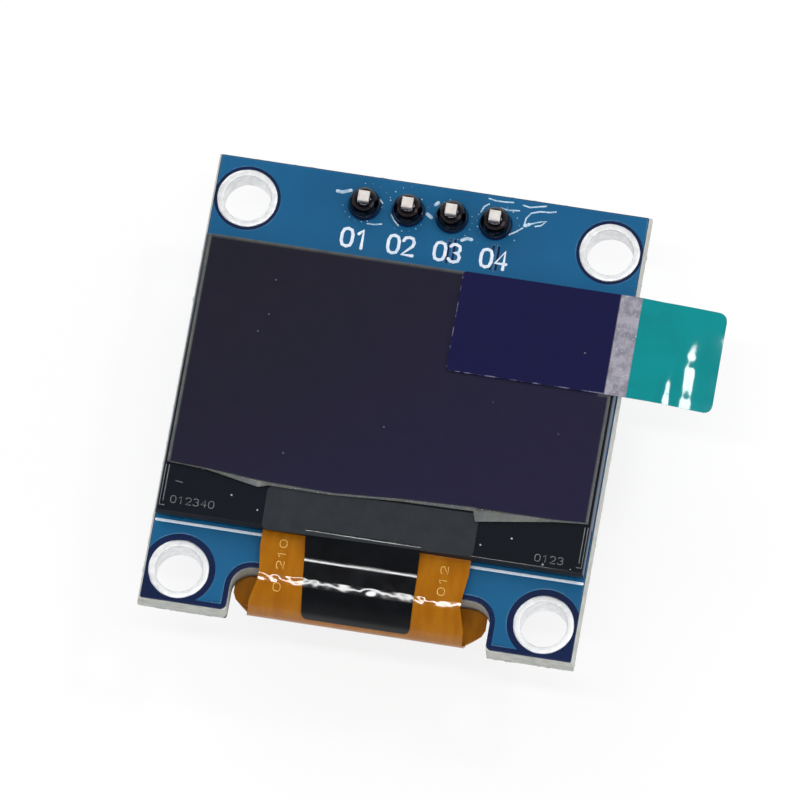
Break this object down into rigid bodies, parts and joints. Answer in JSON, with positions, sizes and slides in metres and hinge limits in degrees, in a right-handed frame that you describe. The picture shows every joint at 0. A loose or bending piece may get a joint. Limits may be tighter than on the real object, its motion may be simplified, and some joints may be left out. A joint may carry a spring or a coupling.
{
  "type": "small oled module",
  "caption": "Small display module: a glass OLED panel on a circuit board with a pin header, corner mounting holes and a folded flex cable.",
  "frame": {"origin": "centre of the four mounting holes, on the board's back face", "axes": "+X to the right and +Y up towards the pin header as the display is read, +Z out of the display"},
  "size_m": [0.0306, 0.0274, 0.0116],
  "materials": {
    "board_laminate": "glass-fibre laminate under blue solder mask, satin gloss, pale snapped edges",
    "tinned_copper": "hot-tinned copper, bright and slightly uneven",
    "header_plastic": "black moulded plastic, matt",
    "pin_metal": "plated brass, bright",
    "solder": "solder, glossy and dark where it turns away from the light",
    "panel_glass": "polished dark glass",
    "seal_resin": "cured resin",
    "pixel_stack": "thin dark layers of pixels",
    "polariser_film": "dark glossy film with a violet cast",
    "adhesive_foam": "white double-sided tape",
    "bare_silicon": "polished bare silicon",
    "flex_polyimide": "amber polyimide over copper, glossy",
    "flex_cover_black": "black glossy cover",
    "black_tape": "black film tape, satin",
    "clear_film": "clear protective film",
    "tab_film": "teal tinted film, glossy",
    "chip_resin": "black moulded resin",
    "chip_ceramic": "brown fired ceramic with tinned ends",
    "resistor_ceramic": "black glazed ceramic with tinned ends"
  },
  "bodies": {
    "root": {"circuit_board": "board_laminate", "mounting_ring_1": "tinned_copper", "mounting_ring_2": "tinned_copper", "mounting_ring_3": "tinned_copper", "mounting_ring_4": "tinned_copper", "header_body": "header_plastic", "header_pin_1": "pin_metal", "header_pin_2": "pin_metal", "header_pin_3": "pin_metal", "header_pin_4": "pin_metal", "pin_joint_1": "solder", "pin_joint_2": "solder", "pin_joint_3": "solder", "pin_joint_4": "solder", "front_glass": "panel_glass", "rear_glass": "panel_glass", "glass_seal": "seal_resin", "pixel_layer": "pixel_stack", "polariser": "polariser_film", "panel_adhesive": "adhesive_foam", "driver_chip": "bare_silicon", "flex_cable": "flex_polyimide", "flex_cover": "flex_cover_black", "flex_joints": "solder", "ledge_tape": "black_tape", "protective_film": "clear_film", "pull_tab": "tab_film", "regulator_body": "chip_resin", "regulator_leads": "tinned_copper", "capacitor_1": "chip_ceramic", "capacitor_2": "chip_ceramic", "capacitor_3": "chip_ceramic", "capacitor_4": "chip_ceramic", "capacitor_5": "chip_ceramic", "capacitor_6": "chip_ceramic", "capacitor_7": "chip_ceramic", "capacitor_8": "chip_ceramic", "resistor_1": "resistor_ceramic", "resistor_2": "resistor_ceramic", "resistor_3": "resistor_ceramic", "resistor_4": "resistor_ceramic", "resistor_5": "resistor_ceramic", "resistor_6": "resistor_ceramic", "resistor_7": "resistor_ceramic", "chip_joints": "solder", "regulator_joints": "solder"}
  },
  "joints": []
}
